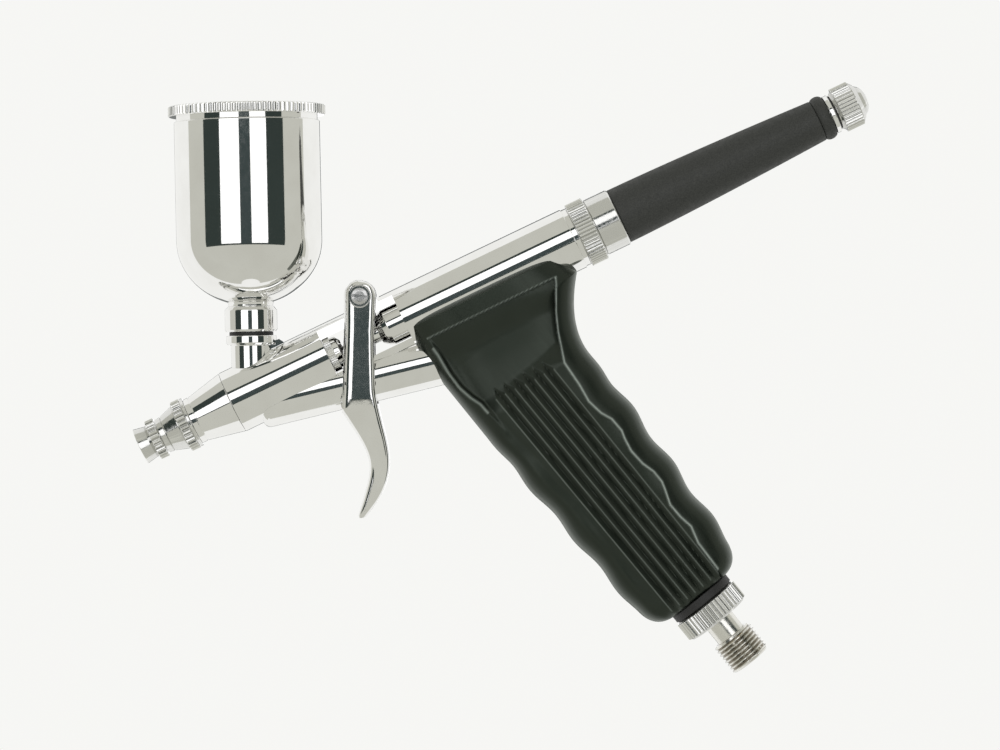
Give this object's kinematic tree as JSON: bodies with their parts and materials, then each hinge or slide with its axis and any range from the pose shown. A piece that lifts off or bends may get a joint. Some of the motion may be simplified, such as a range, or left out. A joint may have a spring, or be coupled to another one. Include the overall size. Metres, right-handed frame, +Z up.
{
  "type": "airbrush gun",
  "caption": "Trigger-operated airbrush with a gravity cup and lid, slim barrel, tapered tail handle with needle adjuster, and a ribbed pistol grip with a threaded air inlet.",
  "frame": {"origin": "centre of the air inlet's end face", "axes": "+Z up with the cup plumb, +X from the nose towards the tail, +Y across the gun"},
  "size_m": [0.1655, 0.0352, 0.132],
  "materials": {
    "chrome_bright": "polished chrome plate",
    "chrome_knurled": "chrome-plated knurling",
    "nickel_satin": "worn nickel plate on a thread",
    "steel_needle": "ground and drawn steel",
    "steel_spring": "drawn spring wire",
    "brass_turned": "turned brass",
    "rubber_black": "moulded seal rubber",
    "seal_white": "turned fluoropolymer",
    "grip_plastic": "moulded plastic with a satin surface and long ribs",
    "handle_coat": "fine matt coating"
  },
  "bodies": {
    "gun": {"needle_cap": "chrome_knurled", "nozzle_cap": "chrome_knurled", "nozzle": "brass_turned", "head": "chrome_bright", "head_seal": "seal_white", "barrel": "chrome_bright", "cup_stem": "chrome_bright", "cup_seal": "rubber_black", "cup_nut": "chrome_bright", "cup": "chrome_bright", "needle_packing": "seal_white", "packing_screw": "steel_needle", "needle_spring": "steel_spring", "spring_case": "brass_turned", "handle_collar": "chrome_knurled", "handle": "handle_coat", "handle_end": "chrome_bright", "knob_washer": "rubber_black", "pivot_screws": "steel_needle", "air_tube": "chrome_bright", "valve_guide": "brass_turned", "valve_ring": "rubber_black", "valve_seat": "brass_turned", "valve_spring": "steel_spring", "valve_plug": "brass_turned", "air_pipe": "brass_turned", "grip": "grip_plastic", "grip_washer": "rubber_black", "grip_nut": "chrome_knurled", "air_inlet": "nickel_satin"},
    "trigger": {"trigger": "chrome_bright", "pusher_pin": "steel_needle", "valve_pin": "steel_needle"},
    "needle": {"needle": "steel_needle", "needle_guide": "steel_needle", "chuck_nut": "brass_turned"},
    "valve": {"valve_stem": "steel_needle", "valve_poppet": "rubber_black"},
    "adjuster_screw": {"needle_stop": "steel_needle"},
    "adjuster_knob": {"adjuster_knob": "chrome_knurled"},
    "lid": {"cup_lid": "chrome_knurled"}
  },
  "joints": [
    {"name": "trigger_pull", "type": "hinge", "parent": "gun", "child": "trigger", "pos_m": [-0.08636, 0, 0.08226], "axis": [0, -1, 0], "range_deg": [0, 14], "stiffness_Nm_per_rad": 0.02, "springref_deg": -20.05},
    {"name": "needle_draw", "type": "slide", "parent": "gun", "child": "needle", "axis": [0.9063, 0, 0.4226], "range_m": [0, 0.0026], "deforming": ["needle_spring"]},
    {"name": "valve_push", "type": "slide", "parent": "gun", "child": "valve", "axis": [0.9744, 0, 0.225], "range_m": [0, 0.005], "deforming": ["valve_spring"]},
    {"name": "adjuster_travel", "type": "slide", "parent": "gun", "child": "adjuster_screw", "axis": [0.9063, 0, 0.4226], "range_m": [0, 0.0036]},
    {"name": "adjuster_turn", "type": "hinge", "parent": "adjuster_screw", "child": "adjuster_knob", "pos_m": [0.02025, 0, 0.12221], "axis": [0.9063, 0, 0.4226], "range_deg": [0, 1800]},
    {"name": "lid_lift", "type": "slide", "parent": "gun", "child": "lid", "axis": [-0.0087, 0, 1], "range_m": [0, 0.012]}
  ],
  "couplings": [
    {"joint": "needle_draw", "follows": "trigger_pull", "m_per_rad": 0.0092},
    {"joint": "valve_push", "follows": "trigger_pull", "m_per_rad": 0.0188},
    {"joint": "adjuster_travel", "follows": "adjuster_turn", "m_per_rad": 0.00011141}
  ]
}
